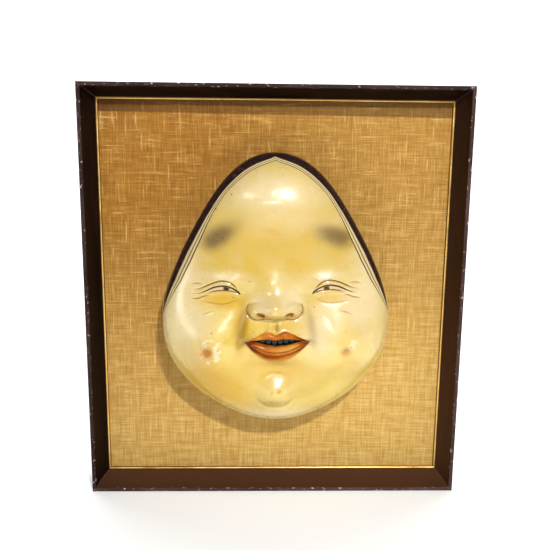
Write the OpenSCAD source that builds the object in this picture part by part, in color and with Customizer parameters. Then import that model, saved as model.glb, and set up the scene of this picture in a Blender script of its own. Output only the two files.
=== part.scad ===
// Carved wooden noh mask, fixed to a cloth-covered board in a deep shadow-box frame.
// Millimetres. The mask looks along -Y and +Z is up.
// The origin is the middle of the bottom rail's underside, halfway through the rail's depth.

/* [Frame] */
// Width over the rails
frame_w = 303; // [296:1:320]
// Height over the rails
frame_h = 332; // [328:1:350]
// Depth of the rails, from the front lip to the back
rail_d = 40; // [38:0.5:44]
// Width of the rails, seen from the front
rail_w = 9.5; // [9:0.1:11]
// Width of the flat front lip
lip_w = 3.1; // [2.6:0.1:4]
// Depth of the hollow that runs down the rail's inner side
scoop_d = 20.9; // [18:0.1:22]
// Radius of that hollow
scoop_r = 40; // [30:1:60]
// Gilt that shows inside the rails
slip_show = 1.7; // [1:0.1:3]
// Thickness of the gilt slips
slip_t = 2.5; // [2:0.1:3]

/* [Backing] */
// Thickness of the cloth on the board
cloth_t = 0.5; // [0.4:0.1:0.8]
// Thickness of the board behind the cloth
board_t = 4; // [3:0.5:5]
// Thickness of the back panel
panel_t = 2.7; // [2.4:0.1:3.2]
// Width of the liner strips that close the rails' rebate
liner_w = 9; // [8:0.5:10]
// Width of the ledge that the back panel lies on
ledge_w = 5; // [4:0.5:8]

/* [Mask] */
// Half width that the mask's outline starts from, before it tapers
outline_w = 85.5; // [82:0.5:88]
// Half the mask's height
half_h = 106.6; // [102:0.2:108]
// Height of the mask's middle above the frame's underside
mid_z = 174.5; // [173:0.5:177]
// How much narrower the mask gets towards its crown
crown_taper = 0.36; // [0.3:0.02:0.38]
// Lean of the mask's crown towards -X, in degrees
mask_lean = 0.8; // [0:0.2:1.2]
// Depth of the mask's straight side walls
wall_d = 30; // [26:1:34]
// Height of the rounded face in front of the side walls
dome_h = 27; // [25:1:30]
// How far the nose stands out of the face
nose_h = 10; // [8:0.5:11]
// How far the cheeks stand out of the face
cheek_h = 9.5; // [8:0.5:10]
// Thickness of the side walls
wall_t = 11; // [9:0.5:12]

/* [Hardware] */
// Length of a turn button
button_l = 24; // [20:1:28]
// Width of a turn button
button_w = 9; // [8:0.5:10]
// Inner width of a hanging ring
ring_w = 10; // [9:0.5:10.5]
// Radius of the hanging ring's wire
wire_r = 1; // [0.8:0.1:1.1]
// Height of the hanging rings' hinges
hanger_z = 250; // [230:1:270]

/* [Hidden] */
$fn = 48;

// Depths along Y
front_y = -rail_d / 2;
back_y = rail_d / 2;
rabbet_y = front_y + scoop_d + 1;
cloth_y = rabbet_y + slip_t;
liner_y = cloth_y + board_t + 2 * cloth_t;
panel_y = back_y - panel_t;

// Insets from the frame's outer edge
rabbet_u = 6;
fit_gap = 0.2;
slip_u = rabbet_u + fit_gap;
liner_u = rabbet_u + 0.1;
ledge_u = liner_u + liner_w;
panel_u = ledge_u + 0.3;
turnover_w = 12;

// Centre of the hollow's arc, which runs from the lip to the rail's inner edge
chord = [scoop_d, rail_w - lip_w];
chord_l = norm(chord);
arc_back = sqrt(scoop_r * scoop_r - chord_l * chord_l / 4) / chord_l;
scoop_c = [front_y, lip_w] + chord / 2 + arc_back * [-chord[1], chord[0]];

// Mask
spokes = 72;
face_rings = 30;
inner_rings = 9;
end_taper = 0.1;
taper_ease = 0.25;
nose_x = -1.3;
nose_z = 165;
rim_y = cloth_y - wall_d;
widest_x = max([for (i = [0:spokes - 1]) outline(360 * i / spokes)[0]]);
inner_scale = 1 - wall_t / widest_x;
inner_lift = 6;
pupil_x = 38;
pupil_z = 181;
batten_z = 195;
batten_h = 20;
batten_t = 12;
mask_screw_x = 30;

// Fasteners
shank_r = 1.5;
run_gap = 0.06;
button_u = 10.5;
button_t = 1.4;
button_lift = 0.25;
head_lift = 0.25;
strap_u = 8.2;
strap_w = 8;
strap_t = 1;
hinge_y = back_y + 2.1;
sleeve_r = 2;
ring_l = 12;
strap_l = 21;
// Each turn button: its pivot's X and Z, and the way that it points, from +X towards +Z
button_places = [
  [-frame_w / 2 + button_u, 80, 0], [-frame_w / 2 + button_u, 200, 0],
  [frame_w / 2 - button_u, 80, 180], [frame_w / 2 - button_u, 200, 180],
  [0, frame_h - button_u, -90], [0, button_u, 90]
];

// ---- Curves of the mask ----

// Outline at an angle: widest low on the cheeks, with a narrower crown
function outline(a) =
  let (s = sin(a), taper = 1 - crown_taper * s - end_taper * s * s + taper_ease * s * s * s)
  [outline_w * cos(a) * taper, mid_z + half_h * s];

// Point at the fraction q of the way from the nose to the outline
function face_point(a, q) = [0, nose_z] + q * (outline(a) - [0, nose_z]);

// Soft mound of height 1 that fades over the half widths wx and wz, on both sides of the face
function mound(x, z, mx, mz, wx, wz) =
  exp(-pow((abs(x) - mx) / wx, 2) - pow((z - mz) / wz, 2));

// Round boss of height 1 with soft edges, on both sides of the face
function boss(x, z, mx, mz, wx, wz) =
  exp(-pow(pow((abs(x) - mx) / wx, 2) + pow((z - mz) / wz, 2), 2));

function dome(q) = sqrt(max(0, 1 - pow(q, 2.6)));

function forehead(x, z) =
  4.5 * mound(x, z, 0, 248, 46, 20) - 1.4 * mound(x, z, 0, 212, 46, 18);

function eyes(x, z) =
  3.2 * mound(x, z, 40, 186, 17, 7) - 3 * mound(x, z, 40, 178, 26, 14);

function cheeks(x, z) = mound(x, z, 50, 132, 24, 25);

// Nose: a bridge that rises down to the tip, with a wing on each side, blended into one form
function bridge(x, z) =
  let (along = min(1, max(0, (204 - z) / 36)), base = min(1, max(0, (z - 157) / 6)))
  0.85 * along * along * base * exp(-pow(x / 12, 2));
function nose(x, z) =
  nose_h * pow(
    pow(bridge(x, z), 3) + pow(boss(x, z, 0, 165.5, 11, 8), 3)
      + pow(0.6 * boss(x, z, 13.5, 164.5, 7, 6.6), 3),
    1 / 3);

// Muzzle round the lips, with the hollow under them
function muzzle(x, z) =
  4 * mound(x, z, 0, 141, 19, 15) - 3 * mound(x, z, 0, 119, 18, 8)
  + 1.6 * mound(x, z, 0, 146, 14, 2.6) + 2.4 * mound(x, z, 0, 132.5, 12, 4);

function chin(x, z) = 8.5 * mound(x, z, 0, 98, 14, 11);

function face_y(x, z, q) =
  rim_y - dome_h * dome(q) - forehead(x, z) - eyes(x, z) - cheek_h * cheeks(x, z)
  - nose(x - nose_x, z) - muzzle(x - nose_x, z) - chin(x - nose_x, z);

// The hollow follows the face more simply, deeper behind the nose and the cheeks
function inner_y(x, z, q) =
  rim_y + inner_lift - (dome_h - inner_lift) * dome(q)
  - 7 * mound(x, z, 0, 168, 8, 15) - (cheek_h - 3.5) * cheeks(x, z);

// Rings from the nose tip out over the face, round the back rim and in over the hollow
face_q = [for (i = [1:face_rings]) (1 - cos(180 * i / face_rings)) / 2];
inner_q = [for (i = [0:inner_rings - 1]) 1 - pow(i / inner_rings, 1.4)];
function face_ring(q) =
  [for (i = [0:spokes - 1]) let (p = face_point(360 * i / spokes, q)) [p[0], face_y(p[0], p[1], q), p[1]]];
function inner_ring(q) =
  [for (i = [0:spokes - 1])
    let (p = face_point(360 * i / spokes, q * inner_scale)) [p[0], inner_y(p[0], p[1], q), p[1]]];
function rim_ring(q) =
  [for (i = [0:spokes - 1]) let (p = face_point(360 * i / spokes, q)) [p[0], cloth_y, p[1]]];

// Skin over a stack of closed rings, with a point at each end
function skin_faces(rings, n) = concat(
  [for (i = [0:n - 1]) [0, 1 + (i + 1) % n, 1 + i]],
  [for (k = [0:rings - 2]) for (i = [0:n - 1])
    [1 + k * n + i, 1 + k * n + (i + 1) % n, 1 + (k + 1) * n + i]],
  [for (k = [0:rings - 2]) for (i = [0:n - 1])
    [1 + k * n + (i + 1) % n, 1 + (k + 1) * n + (i + 1) % n, 1 + (k + 1) * n + i]],
  [for (i = [0:n - 1]) [1 + rings * n, 1 + (rings - 1) * n + i, 1 + (rings - 1) * n + (i + 1) % n]]);

// ---- Shared shapes ----

// Places a shape drawn for the bottom side of the frame on one of its four sides
module on_bottom() { children(); }
module on_top() { translate([0, 0, frame_h]) mirror([0, 0, 1]) children(); }
module on_left() { translate([-frame_w / 2, 0, frame_h / 2]) rotate([0, 90, 0]) children(); }
module on_right() { translate([frame_w / 2, 0, frame_h / 2]) rotate([0, -90, 0]) children(); }

// Strip with a [depth, inset] section, mitred at both ends
module mitred_strip(length, inset) {
  intersection() {
    rotate([90, 0, 90]) linear_extrude(length, center = true) children();
    rotate([90, 0, 0]) linear_extrude(2 * rail_d, center = true)
      polygon([
        [-length / 2, 0],
        [length / 2, 0],
        [length / 2 - inset, inset],
        [inset - length / 2, inset]
      ]);
  }
}

module at_corners() {
  for (side = [0, 1]) for (end = [0, 1])
    translate([(side - 0.5) * frame_w, 0, end * frame_h])
      mirror([side, 0, 0]) mirror([0, 0, end]) children();
}

// Post along Y, from one depth to another
module post(r, from_y, to_y) {
  translate([0, to_y, 0]) rotate([90, 0, 0]) cylinder(r = r, h = to_y - from_y);
}

// Countersunk-slot pan head screw that points along -Y from the depth head_y
module screw(head_y, head_r, head_h, depth) {
  difference() {
    union() {
      post(head_r, head_y, head_y + head_h);
      post(shank_r, head_y - depth + 2, head_y + 0.1);
      translate([0, head_y - depth + 2, 0]) rotate([90, 0, 0]) cylinder(r1 = shank_r, r2 = 0.3, h = 2);
    }
    translate([-head_r, head_y + head_h / 2, -0.4]) cube([2 * head_r, head_h, 0.8]);
  }
}

// V-shaped nail that ties a mitre together, driven in from the back
module v_nail(gap) {
  for (lean = [-35, 35])
    translate([1.7, back_y - 9, 1.7]) rotate([0, -45 + lean, 0])
      translate([-gap, -gap, -0.25 - gap]) cube([3.6 + 2 * gap, 9 + 2 * gap, 0.5 + 2 * gap]);
}

// ---- Frame ----

module rail_section() {
  difference() {
    translate([front_y, 0]) square([rail_d, rail_w]);
    translate([rabbet_y, rabbet_u]) square([rail_d, rail_w]);
    translate(scoop_c) circle(scoop_r);
  }
}

module rail(length) {
  color([0.2, 0.11, 0.08]) mitred_strip(length, rail_w + 1) rail_section();
}

module rail_bottom() { difference() { rail(frame_w); at_corners() v_nail(0.03); } }
module rail_top() { difference() { on_top() rail(frame_w); at_corners() v_nail(0.03); } }
module rail_left() { difference() { on_left() rail(frame_h); at_corners() v_nail(0.03); } }
module rail_right() { difference() { on_right() rail(frame_h); at_corners() v_nail(0.03); } }
module corner_nails() { color("silver") at_corners() v_nail(0); }

// Gilt slip with a round nose, clamped between the rail and the cloth
module slip(length) {
  nose_u = rail_w + slip_show - slip_t / 2;
  color([0.83, 0.64, 0.32])
    mitred_strip(length, nose_u + slip_t) {
      translate([rabbet_y, slip_u]) square([slip_t, nose_u - slip_u]);
      translate([rabbet_y + slip_t / 2, nose_u]) circle(slip_t / 2);
    }
}

module slip_bottom() { slip(frame_w); }
module slip_top() { on_top() slip(frame_w); }
module slip_left() { on_left() slip(frame_h); }
module slip_right() { on_right() slip(frame_h); }

// ---- Backing ----

// Block that fills the frame from one inset to the other, between two depths
module sheet(inset, from_y, to_y) {
  translate([inset - frame_w / 2, from_y, inset])
    cube([frame_w - 2 * inset, to_y - from_y, frame_h - 2 * inset]);
}

// The mask hangs slightly out of true, turned about its middle
module leaning() {
  translate([0, 0, mid_z]) rotate([0, -mask_lean, 0]) translate([0, 0, -mid_z]) children();
}

module at_mask_screws() {
  for (side = [-1, 1]) leaning() translate([side * mask_screw_x, 0, batten_z]) children();
}

// Cloth over the board's face and edges, turned over behind
module backing_cloth() {
  color([0.72, 0.52, 0.28])
    difference() {
      sheet(slip_u, cloth_y, liner_y);
      sheet(slip_u + cloth_t, cloth_y + cloth_t, liner_y - cloth_t);
      sheet(slip_u + turnover_w, liner_y - 2 * cloth_t, liner_y + 1);
      at_mask_screws() post(shank_r + run_gap, cloth_y - 1, liner_y);
    }
}

module mount_board() {
  color([0.55, 0.4, 0.26])
    difference() {
      sheet(slip_u + cloth_t, cloth_y + cloth_t, liner_y - cloth_t);
      at_mask_screws() post(shank_r + run_gap, cloth_y, liner_y);
    }
}

// Strip that closes the rebate behind the board, with a ledge for the back panel
module liner(length) {
  color([0.75, 0.6, 0.42])
    mitred_strip(length, ledge_u + ledge_w + 1) {
      translate([liner_y, liner_u]) square([back_y - liner_y, liner_w]);
      translate([liner_y, ledge_u - 1]) square([panel_y - liner_y, ledge_w + 1]);
    }
}

// Pilot holes for the screws of the turn buttons and the hanger straps
module pilot_holes() {
  for (place = button_places)
    translate([place[0], 0, place[1]]) post(shank_r + 0.02, liner_y + 1, back_y + 1);
  at_hangers() translate([0, 0, -strap_l + 4]) post(shank_r + 0.02, liner_y + 1, back_y + 1);
}

module liner_bottom() { difference() { liner(frame_w); pilot_holes(); } }
module liner_top() { difference() { on_top() liner(frame_w); pilot_holes(); } }
module liner_left() { difference() { on_left() liner(frame_h); pilot_holes(); } }
module liner_right() { difference() { on_right() liner(frame_h); pilot_holes(); } }
module back_panel() { color([0.62, 0.47, 0.32]) sheet(panel_u, panel_y, back_y); }

// ---- Mask ----

// Hollow carved shell, closed over the face and open at the back
module mask_shell() {
  rings = concat(
    [for (q = face_q) face_ring(q)],
    [rim_ring(1), rim_ring(inner_scale)],
    [for (q = inner_q) inner_ring(q)]);
  tip = [0, face_y(0, nose_z, 0), nose_z];
  inner_tip = [0, inner_y(0, nose_z, 0), nose_z];
  polyhedron(
    points = concat([tip], [for (ring = rings) each ring], [inner_tip]),
    faces = skin_faces(len(rings), spokes));
}

// Square pupils that the wearer sees through, the gap between the lips, and the nostrils
module face_openings() {
  for (side = [-1, 1]) {
    translate([side * pupil_x - 2, rim_y - dome_h, pupil_z - 2]) cube([4, 30, 4]);
    translate([side * 10.6 + nose_x, rim_y - dome_h - 20, 162.2])
      rotate([-90, 0, 0]) cylinder(r = 2.2, h = 16, $fn = 16);
  }
  translate([-0.5, rim_y - dome_h - 20, 139.8])
    rotate([-90, 0, 0]) scale([17, 2, 1]) cylinder(r = 1, h = 50);
}

// The pierced shell is made as one mesh, at its own overall width
module mask() {
  color([0.92, 0.82, 0.52])
    leaning() resize([2 * widest_x, 0, 0]) difference() {
      mask_shell();
      face_openings();
    }
}

// Bar glued across the mask's hollow, for the screws from behind the board
module mask_batten() {
  color([0.7, 0.55, 0.36])
    difference() {
      leaning() intersection() {
        translate([-outline_w, cloth_y - batten_t, batten_z - batten_h / 2])
          cube([2 * outline_w, batten_t, batten_h]);
        translate([0, cloth_y + 1, 0]) rotate([90, 0, 0]) linear_extrude(2 * batten_t)
          polygon([for (i = [0:spokes - 1]) face_point(360 * i / spokes, inner_scale - 0.004)]);
      }
      at_mask_screws() post(shank_r + run_gap, cloth_y - 11, cloth_y + 1);
    }
}

module mask_screws() {
  color("silver") at_mask_screws() screw(liner_y, 3.4, 2, 14);
}

// ---- Hardware ----

// Latch that turns on its screw to hold or free the back panel
module turn_button(place) {
  color([0.8, 0.66, 0.35])
    translate([place[0], back_y + button_lift, place[1]]) rotate([0, -place[2], 0]) difference() {
      translate([0, button_t, 0]) rotate([90, 0, 0]) linear_extrude(button_t) {
        circle(button_w / 2);
        translate([button_l - button_w, 0]) circle(button_w / 2);
        translate([0, -button_w / 2]) square([button_l - button_w, button_w]);
      }
      post(shank_r + run_gap, -1, button_t + 1);
    }
}

module button_screws() {
  color("silver")
    for (place = button_places) translate([place[0], 0, place[1]])
      screw(back_y + button_lift + button_t + head_lift, 3, 1.6, 10);
}

module at_left_hanger() { translate([strap_u - frame_w / 2, 0, hanger_z]) children(); }
module at_right_hanger() { mirror([1, 0, 0]) at_left_hanger() children(); }
module at_hangers() {
  at_left_hanger() children();
  at_right_hanger() children();
}

// Folded steel strap that holds the ring's bar in a sleeve
module hanger_strap() {
  color("silver")
    difference() {
      union() {
        translate([0, back_y + strap_t, 0]) rotate([90, 0, 0]) linear_extrude(strap_t) {
          translate([-strap_w / 2, 4 - strap_l]) square([strap_w, strap_l - 4]);
          translate([0, 4 - strap_l]) circle(strap_w / 2);
        }
        translate([-strap_w / 2, hinge_y, 0]) rotate([0, 90, 0]) cylinder(r = sleeve_r, h = strap_w);
      }
      translate([-strap_w, hinge_y, 0]) rotate([0, 90, 0]) cylinder(r = wire_r + run_gap, h = 2 * strap_w);
      translate([0, 0, 4 - strap_l]) post(shank_r + run_gap, back_y - 1, back_y + 2);
    }
}

module hanger_strap_left() { at_left_hanger() hanger_strap(); }
module hanger_strap_right() { at_right_hanger() hanger_strap(); }

// Wire ring on a straight bar, hanging flat against the strap
module hanger_ring() {
  leg_x = ring_w / 2 + wire_r;
  bend = 3;
  low_z = bend - ring_l;
  color("silver") translate([0, hinge_y, 0]) {
    translate([-leg_x, 0, 0]) rotate([0, 90, 0]) cylinder(r = wire_r, h = 2 * leg_x);
    for (side = [-1, 1]) translate([side * leg_x, 0, 0]) {
      sphere(wire_r);
      translate([0, 0, low_z]) cylinder(r = wire_r, h = -low_z);
    }
    for (side = [0, 1]) mirror([side, 0, 0])
      translate([leg_x - bend, 0, low_z]) rotate([90, 0, 0])
        rotate([0, 0, -90]) rotate_extrude(angle = 90) translate([bend, 0]) circle(wire_r);
    translate([bend - leg_x, 0, low_z - bend])
      rotate([0, 90, 0]) cylinder(r = wire_r, h = 2 * (leg_x - bend));
  }
}

module hanger_ring_left() { at_left_hanger() hanger_ring(); }
module hanger_ring_right() { at_right_hanger() hanger_ring(); }

module hanger_screws() {
  color("silver") at_hangers() translate([0, 0, 4 - strap_l]) screw(back_y + strap_t, 2.8, 1.6, 9.5);
}

// Felt pads that keep the frame's lower corners off the wall
module wall_bumpers() {
  color([0.15, 0.14, 0.13])
    for (side = [-1, 1]) translate([side * (frame_w / 2 - 8), 0, 8]) post(5, back_y, back_y + 3);
}

// ---- Nodes ----

rail_bottom();
rail_top();
rail_left();
rail_right();
corner_nails();
slip_bottom();
slip_top();
slip_left();
slip_right();
backing_cloth();
mount_board();
mask();
mask_batten();
mask_screws();
liner_bottom();
liner_top();
liner_left();
liner_right();
back_panel();
turn_button(button_places[0]);  // turn_button_1
turn_button(button_places[1]);  // turn_button_2
turn_button(button_places[2]);  // turn_button_3
turn_button(button_places[3]);  // turn_button_4
turn_button(button_places[4]);  // turn_button_5
turn_button(button_places[5]);  // turn_button_6
button_screws();
hanger_strap_left();
hanger_strap_right();
hanger_ring_left();
hanger_ring_right();
hanger_screws();
wall_bumpers();
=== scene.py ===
"""The looks of the framed noh mask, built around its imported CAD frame.

Lengths are metres, except in the mask's form and paint and the rails' section, which are drawn in
millimetres and scaled when their meshes are made. +Z is up and the mask looks along -Y.
"""

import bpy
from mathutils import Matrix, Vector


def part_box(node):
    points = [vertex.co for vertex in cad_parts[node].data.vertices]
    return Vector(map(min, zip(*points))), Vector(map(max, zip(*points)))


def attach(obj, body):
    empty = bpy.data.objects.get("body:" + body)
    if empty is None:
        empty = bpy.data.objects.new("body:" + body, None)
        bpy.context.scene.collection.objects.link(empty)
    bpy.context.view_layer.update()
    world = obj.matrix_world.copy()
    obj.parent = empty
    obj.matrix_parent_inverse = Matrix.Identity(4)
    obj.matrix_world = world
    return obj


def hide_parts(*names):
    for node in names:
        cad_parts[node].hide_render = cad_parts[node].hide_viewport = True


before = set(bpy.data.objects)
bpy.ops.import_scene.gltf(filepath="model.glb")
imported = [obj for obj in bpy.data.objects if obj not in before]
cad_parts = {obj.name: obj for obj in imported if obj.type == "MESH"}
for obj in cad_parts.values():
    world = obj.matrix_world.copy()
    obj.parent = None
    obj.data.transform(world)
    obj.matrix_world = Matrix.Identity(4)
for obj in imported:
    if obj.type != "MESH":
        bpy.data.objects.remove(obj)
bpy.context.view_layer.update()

import math

import bmesh
import bpy
import numpy as np
from mathutils import Matrix, Vector

MM = 0.001
CASE = "case"

# ----- Places worked out from the CAD frame -----

rail_low, rail_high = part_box("rail_left")
FRAME_W = -2 * rail_low.x
FRAME_H = rail_high.z
RAIL_W = rail_high.x - rail_low.x
FRONT_Y = rail_low.y
BACK_Y = rail_high.y
CLOTH_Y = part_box("backing_cloth")[0].y
BOARD_LOW, BOARD_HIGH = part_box("mount_board")
MIDDLE = (0, 0, FRAME_H / 2)

# ----- The mask's form, in millimetres: the same curves as the CAD mask, then finer carving -----

RIM_HEIGHT = 30
RIM_Y = CLOTH_Y / MM - RIM_HEIGHT
HALF_W = 85.5
HALF_H = 106.6
MID_Z = 174.5
NOSE_Z = 165
CROWN_TAPER = 0.36
END_TAPER = 0.1
TAPER_EASE = 0.25
DOME_HEIGHT = 27
HOLLOW_HEIGHT = 21
LEAN = math.radians(0.8)
OFFSET_X = -1.3


def outline(angle):
    """Edge of the mask at an angle about its middle."""
    s = np.sin(angle)
    taper = 1 - CROWN_TAPER * s - END_TAPER * s**2 + TAPER_EASE * s**3
    return HALF_W * np.cos(angle) * taper, MID_Z + HALF_H * s


def fade(x, z, mx, mz, wx, wz):
    """Soft mound of height 1 and half widths wx and wz, on one side of the face only."""
    return np.exp(-(((x - mx) / wx) ** 2) - ((z - mz) / wz) ** 2)


def mound(x, *rest):
    """A soft mound that is the same on both sides of the face."""
    return fade(np.abs(x), *rest)


def ball(x, z, mx, mz, wx, wz):
    """Half of an ellipsoid of height 1, the same on both sides of the face."""
    return np.sqrt(np.clip(1 - ((np.abs(x) - mx) / wx) ** 2 - ((z - mz) / wz) ** 2, 0, 1))


def dome(q):
    """The plain rounding that the face stands on, from its middle out to its rim."""
    return DOME_HEIGHT * np.sqrt(np.clip(1 - q**2.6, 0, 1))


def forehead(x, z):
    return 4.5 * mound(x, z, 0, 248, 46, 20) - 1.4 * mound(x, z, 0, 212, 46, 18)


def eye_sockets(x, z):
    return 3.2 * mound(x, z, 40, 186, 17, 7) - 3 * mound(x, z, 40, 178, 26, 14)


def cheeks(x, z):
    return mound(x, z, 50, 132, 24, 25)


WING_Z = 164.5
WING_HEIGHT = 6.6


def from_wing(x, z):
    """How far a point is outside the crease round a wing of the nose, as a share of its size."""
    return np.hypot((np.abs(x) - 13.5) / 7, (z - WING_Z) / WING_HEIGHT) - 1.1


def nose(x, z):
    along = np.clip((204 - z) / 36, 0, 1) ** 2 * np.clip((z - 157) / 6, 0, 1)
    bridge = 7 * along * np.exp(-((x / 13) ** 2))
    upward = smooth(z, 158, 171)
    tip = 8.6 * (1 - upward) * ball(x, np.minimum(z, 166), 0, 166, 15, 8.8)
    tip += 8.6 * upward * np.exp(-((x / 10.5) ** 2) - (np.maximum(z - 166, 0) / 10) ** 2)
    wings = 5.6 * ball(x, z, 12.8, WING_Z, 7.8, WING_HEIGHT)
    return np.sqrt(bridge**2 + tip**2 + wings**2)


def muzzle(x, z):
    return 4 * mound(x, z, 0, 141, 19, 15) - 2.2 * mound(x, z, 0, 119, 19, 9)


def chin(x, z):
    return 8.5 * mound(x, z, 0, 98, 14, 11)


def rise(x, z, q):
    """How far the face stands in front of its rim."""
    near = x - OFFSET_X
    return (
        dome(q) + forehead(x, z) + eye_sockets(x, z) + 9.5 * cheeks(x, z)
        + nose(near, z) + muzzle(near, z) + chin(near, z)
    )


# Lines of the carving and the paint, as (distance from the middle, height) from the inner end out
LID = [
    (26.6, 176.6), (32.6, 181.0), (38.6, 183.0), (46.3, 181.9),
    (54, 178.4), (59, 176.6), (65.5, 176.6),
]
FOLD = [
    (28.8, 180.6), (33.3, 184.9), (38.9, 186.9), (46.7, 185.5),
    (52, 183), (57, 180.6), (64.5, 179.3),
]
LOWER_LID = [(27, 176.6), (33.3, 178.7), (39.7, 179.3), (46.8, 178.5), (52.5, 177.0)]
CROW_HIGH = [(54.5, 184.2), (59.5, 184.4), (65, 183.4)]
CROW_LOW = [(50.5, 175.4), (54, 174.7), (59, 173.0), (65.5, 172.3)]
POUCH = [(28, 174.6), (33.6, 170.8), (41, 169), (48.5, 169.6), (57, 170.8)]
CHEEK_LINE = [(46.5, 163.8), (52, 162.4), (58.5, 160)]
NOSE_BASE = [(0, 158.6), (6, 159), (12, 157.7), (17, 158.8), (20.5, 161.6)]
LIP_TOP = [
    (0, 146.3), (2.6, 147.6), (5.6, 149.1), (10.7, 147.3), (16, 144.3), (20, 142.3), (24, 141),
]
GAP_TOP = [(0, 141.9), (5, 142.6), (10, 142.3), (15, 141.7), (20, 141)]
GAP_LOW = [(0, 137.1), (8, 138.0), (15, 140.0), (20, 140.9)]
LIP_LINE_1 = [(0, 132.6), (8, 133.8), (14, 136.6), (20, 140)]
LIP_LINE_2 = [(0, 129.4), (8, 131), (14, 133.9), (21, 139)]
LIP_LOW = [(0, 124.1), (6, 124.8), (12, 128.2), (18, 133.9), (24, 141)]

DIMPLE = (53, 133)

# Width of the painted hair, and the share of it that is a solid dark band, as (height, value)
HAIR_WIDTH = [
    (156, 0.1), (170, 5.2), (185, 9.2), (200, 10.2), (215, 9.6),
    (235, 7.8), (250, 7.4), (262, 8.4), (281, 9.2),
]
HAIR_DARK = [(170, 0.42), (205, 0.42), (240, 0.6), (281, 0.64)]
HAIR_END = 158
# Value of a painted line where there is none
FAR = 50.0


def smooth(t, low=0.0, high=1.0):
    """Rises smoothly from 0 at low to 1 at high."""
    t = np.clip((t - low) / (high - low), 0, 1)
    return t * t * (3 - 2 * t)


def curve(x, knots):
    """Height at x of a smooth line through the knots, level past its ends."""
    kx, kz = np.array(knots, float).T
    slope = np.gradient(kz, kx)
    x = np.clip(x, kx[0], kx[-1])
    i = np.clip(np.searchsorted(kx, x) - 1, 0, len(kx) - 2)
    gap = kx[i + 1] - kx[i]
    t = (x - kx[i]) / gap
    near = kz[i] * (1 + 2 * t) + slope[i] * gap * t
    far = kz[i + 1] * (3 - 2 * t) - slope[i + 1] * gap * (1 - t)
    return near * (1 - t) ** 2 + far * t**2


def across(x, z, knots):
    """Signed distance from a line, positive above it."""
    step = 0.2
    tilt = (curve(x + step, knots) - curve(x - step, knots)) / (2 * step)
    return (z - curve(x, knots)) / np.sqrt(1 + tilt**2)


def within(x, knots, fade):
    """1 along a line and 0 past its ends, fading over a stretch inside each end."""
    first, last = knots[0][0], knots[-1][0]
    return smooth(x, first, first + fade) * (1 - smooth(x, last - fade, last))


def ridge(distance, width):
    return np.exp(-((distance / width) ** 2))


# Creases round the eyes: their lines, depths, the lengths they fade out over, and half widths
CREASES = [
    (FOLD, 0.7, 5, 0.8), (CROW_HIGH, 0.45, 3, 0.8), (CROW_LOW, 0.5, 4, 0.8),
    (POUCH, 0.3, 7, 1.4), (CHEEK_LINE, 0.35, 4, 0.9),
]


def eye_carving(x, z):
    a = np.abs(x)
    lid = across(a, z, LID)
    low = across(a, z, LOWER_LID)
    along = within(a, LID, 6)
    upper = 1.1 * along * smooth(lid, -0.3, 0.5) * ridge(np.clip(lid, 0, None), 4.5)
    opening = -0.8 * within(a, LOWER_LID, 3) * smooth(low, -0.4, 0.4) * smooth(-lid, -0.4, 0.4)
    lower = 0.7 * within(a, LOWER_LID, 4) * ridge(low + 1.4, 1.3)
    creases = sum(
        -depth * within(a, line, ends) * ridge(across(a, z, line), width)
        for line, depth, ends, width in CREASES
    )
    pupil = -5 * smooth(1.9 - np.abs(a - 37.9), 0, 0.5)
    pupil *= smooth(low, -0.1, 0.4) * smooth(-lid, -0.1, 0.4)
    return upper + opening + lower + creases + pupil


def nose_carving(x, z):
    a = np.abs(x)
    nostril = 1 - ((a - 10.6) / 3.5) ** 2 - ((z - 162.2 - 0.12 * (a - 10.6)) / 2.2) ** 2
    pit = -4.5 * smooth(nostril, 0, 0.7)
    wing_groove = -1.0 * ridge(from_wing(x, z), 0.13) * smooth(a, 13, 18)
    return pit + wing_groove


def crease_carving(x, z):
    """The folds from the nose past the mouth, the philtrum, the chin's crease and the dimples."""
    a = np.abs(x)
    fold_x = 27.5 - 9 * smooth(z, 140, 172)
    laugh = np.where(x < 0, -1.4, -0.9) * ridge(a - fold_x, 3.0)
    laugh *= smooth(z, 132, 142) * (1 - smooth(z, 166, 172))
    groove = -1.1 * ridge(x, 1.7) * smooth(z, 147, 149) * (1 - smooth(z, 152.5, 155.5))
    banks = 0.45 * ridge(a - 3.6, 1.5) * smooth(z, 148, 150) * (1 - smooth(z, 153, 157))
    boss = np.hypot(x, z - 99)
    under_chin = -0.6 * ridge(boss - 15.5, 1.9) * smooth(-z, -96, -90)
    dimples = -2.2 * mound(x, z, *DIMPLE, 3, 2.6) + 0.5 * mound(x, z, *DIMPLE, 6, 5.5)
    chin_dents = (
        -0.4 * ridge(np.hypot(x + 4.2, z - 100), 1.3) - 0.5 * ridge(np.hypot(x - 1.8, z - 101), 1.6)
    )
    brow_dent = -0.15 * ridge(np.hypot((x - 1.5) / 2, z - 252), 1.6)
    return laugh + groove + banks + under_chin + dimples + chin_dents + brow_dent


def from_lips(x):
    """Distance from the middle of the mouth, whose right half is a little longer than its left."""
    return np.where(x > -0.6, (x + 0.6) / 1.1, -(x + 0.6))


def lip_shares(a, z, thinnest):
    """Edges of the mouth's gap, and shares of the way up the upper lip and down the lower one."""
    gap_top, gap_low = curve(a, GAP_TOP), curve(a, GAP_LOW)
    up = np.clip((z - gap_top) / np.maximum(curve(a, LIP_TOP) - gap_top, thinnest), 0, 1)
    down = np.clip((gap_low - z) / np.maximum(gap_low - curve(a, LIP_LOW), thinnest), 0, 1)
    return gap_top, gap_low, up, down


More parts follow.
